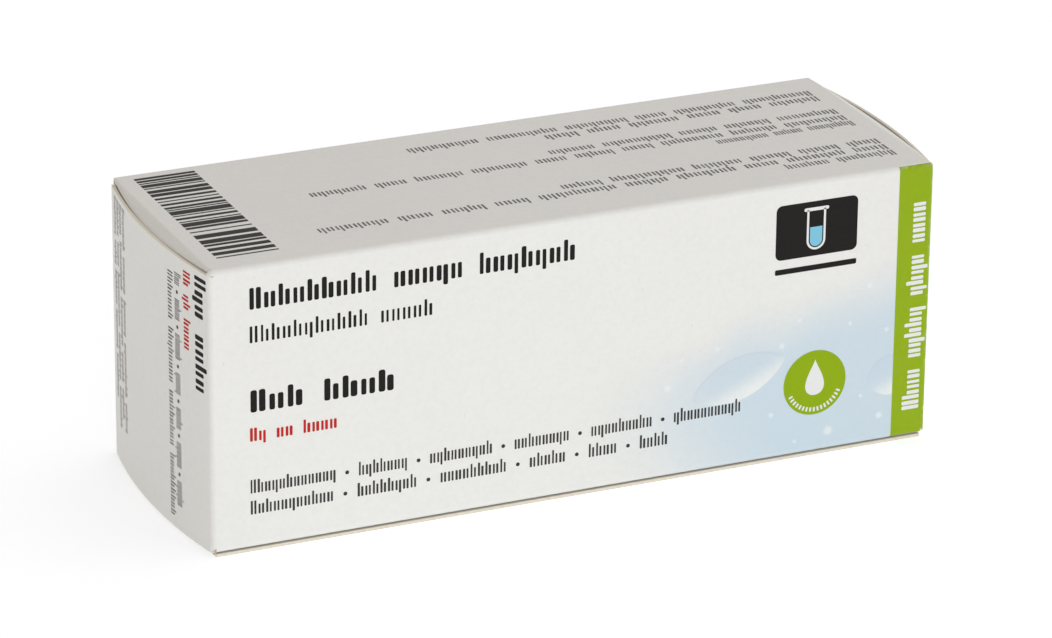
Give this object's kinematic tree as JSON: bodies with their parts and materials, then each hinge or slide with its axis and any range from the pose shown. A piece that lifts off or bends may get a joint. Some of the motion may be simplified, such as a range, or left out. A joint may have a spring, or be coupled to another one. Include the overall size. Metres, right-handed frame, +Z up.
{
  "type": "water test tablet kit",
  "caption": "Closed folding carton of reagent tablets for testing pool and spa water: a glued sleeve with hinged, tucked end panels and flat foil tablet strips stacked inside.",
  "frame": {"origin": "centre of the carton's bottom face, under the middle of its bounding box", "axes": "+X along the carton's length, to the right when its printed front is seen; +Y from the printed front to the back; +Z up"},
  "size_m": [0.1116, 0.0384, 0.0415],
  "materials": {
    "carton_board": "satin",
    "glue": "satin",
    "foil": "satin",
    "tablet": "matte"
  },
  "bodies": {
    "carton": {"carton_sleeve": "carton_board", "seam_glue_line": "glue"},
    "left_end": {"left_end_panel": "carton_board"},
    "left_tuck": {"left_tuck_flap": "carton_board"},
    "left_top_dust": {"left_top_dust_flap": "carton_board"},
    "left_bottom_dust": {"left_bottom_dust_flap": "carton_board"},
    "right_end": {"right_end_panel": "carton_board"},
    "right_tuck": {"right_tuck_flap": "carton_board"},
    "right_top_dust": {"right_top_dust_flap": "carton_board"},
    "right_bottom_dust": {"right_bottom_dust_flap": "carton_board"},
    "strip_01": {"strip_01_upper_foil": "foil", "strip_01_lower_foil": "foil", "strip_01_tablets": "tablet"},
    "strip_02": {"strip_02_upper_foil": "foil", "strip_02_lower_foil": "foil", "strip_02_tablets": "tablet"},
    "strip_03": {"strip_03_upper_foil": "foil", "strip_03_lower_foil": "foil", "strip_03_tablets": "tablet"},
    "strip_04": {"strip_04_upper_foil": "foil", "strip_04_lower_foil": "foil", "strip_04_tablets": "tablet"},
    "strip_05": {"strip_05_upper_foil": "foil", "strip_05_lower_foil": "foil", "strip_05_tablets": "tablet"},
    "strip_06": {"strip_06_upper_foil": "foil", "strip_06_lower_foil": "foil", "strip_06_tablets": "tablet"},
    "strip_07": {"strip_07_upper_foil": "foil", "strip_07_lower_foil": "foil", "strip_07_tablets": "tablet"},
    "strip_08": {"strip_08_upper_foil": "foil", "strip_08_lower_foil": "foil", "strip_08_tablets": "tablet"},
    "strip_09": {"strip_09_upper_foil": "foil", "strip_09_lower_foil": "foil", "strip_09_tablets": "tablet"},
    "strip_10": {"strip_10_upper_foil": "foil", "strip_10_lower_foil": "foil", "strip_10_tablets": "tablet"}
  },
  "joints": [
    {"name": "left_end_hinge", "type": "hinge", "parent": "carton", "child": "left_end", "pos_m": [-0.05387, -0.01902, 0.02075], "axis": [0, 0, 1], "range_deg": [0, 150]},
    {"name": "left_tuck_crease", "type": "hinge", "parent": "left_end", "child": "left_tuck", "pos_m": [-0.05387, 0.01832, 0.02075], "axis": [0, 0, 1], "range_deg": [0, 30]},
    {"name": "left_top_dust_crease", "type": "hinge", "parent": "carton", "child": "left_top_dust", "pos_m": [-0.0533, 0, 0.0415], "axis": [0, 1, 0], "range_deg": [0, 60]},
    {"name": "left_bottom_dust_crease", "type": "hinge", "parent": "carton", "child": "left_bottom_dust", "pos_m": [-0.0533, 0, 0], "axis": [0, -1, 0], "range_deg": [0, 30]},
    {"name": "right_end_hinge", "type": "hinge", "parent": "carton", "child": "right_end", "pos_m": [0.05387, -0.01902, 0.02075], "axis": [0, 0, -1], "range_deg": [0, 150]},
    {"name": "right_tuck_crease", "type": "hinge", "parent": "right_end", "child": "right_tuck", "pos_m": [0.05387, 0.01832, 0.02075], "axis": [0, 0, -1], "range_deg": [0, 30]},
    {"name": "right_top_dust_crease", "type": "hinge", "parent": "carton", "child": "right_top_dust", "pos_m": [0.0533, 0, 0.0415], "axis": [0, -1, 0], "range_deg": [0, 60]},
    {"name": "right_bottom_dust_crease", "type": "hinge", "parent": "carton", "child": "right_bottom_dust", "pos_m": [0.0533, 0, 0], "axis": [0, 1, 0], "range_deg": [0, 30]},
    {"name": "strip_01_play", "type": "slide", "parent": "carton", "child": "strip_01", "axis": [1, 0, 0], "range_m": [-0.002, 0.002]},
    {"name": "strip_02_play", "type": "slide", "parent": "carton", "child": "strip_02", "axis": [1, 0, 0], "range_m": [-0.002, 0.002]},
    {"name": "strip_03_play", "type": "slide", "parent": "carton", "child": "strip_03", "axis": [1, 0, 0], "range_m": [-0.002, 0.002]},
    {"name": "strip_04_play", "type": "slide", "parent": "carton", "child": "strip_04", "axis": [1, 0, 0], "range_m": [-0.002, 0.002]},
    {"name": "strip_05_play", "type": "slide", "parent": "carton", "child": "strip_05", "axis": [1, 0, 0], "range_m": [-0.002, 0.002]},
    {"name": "strip_06_play", "type": "slide", "parent": "carton", "child": "strip_06", "axis": [1, 0, 0], "range_m": [-0.002, 0.002]},
    {"name": "strip_07_play", "type": "slide", "parent": "carton", "child": "strip_07", "axis": [1, 0, 0], "range_m": [-0.002, 0.002]},
    {"name": "strip_08_play", "type": "slide", "parent": "carton", "child": "strip_08", "axis": [1, 0, 0], "range_m": [-0.002, 0.002]},
    {"name": "strip_09_play", "type": "slide", "parent": "carton", "child": "strip_09", "axis": [1, 0, 0], "range_m": [-0.002, 0.002]},
    {"name": "strip_10_play", "type": "slide", "parent": "carton", "child": "strip_10", "axis": [1, 0, 0], "range_m": [-0.002, 0.002]}
  ],
  "couplings": [
    {"joint": "left_tuck_crease", "follows": "left_end_hinge", "ratio": 0.2},
    {"joint": "left_top_dust_crease", "follows": "left_end_hinge", "ratio": 0.4},
    {"joint": "left_bottom_dust_crease", "follows": "left_end_hinge", "ratio": 0.2},
    {"joint": "right_tuck_crease", "follows": "right_end_hinge", "ratio": 0.2},
    {"joint": "right_top_dust_crease", "follows": "right_end_hinge", "ratio": 0.4},
    {"joint": "right_bottom_dust_crease", "follows": "right_end_hinge", "ratio": 0.2}
  ]
}
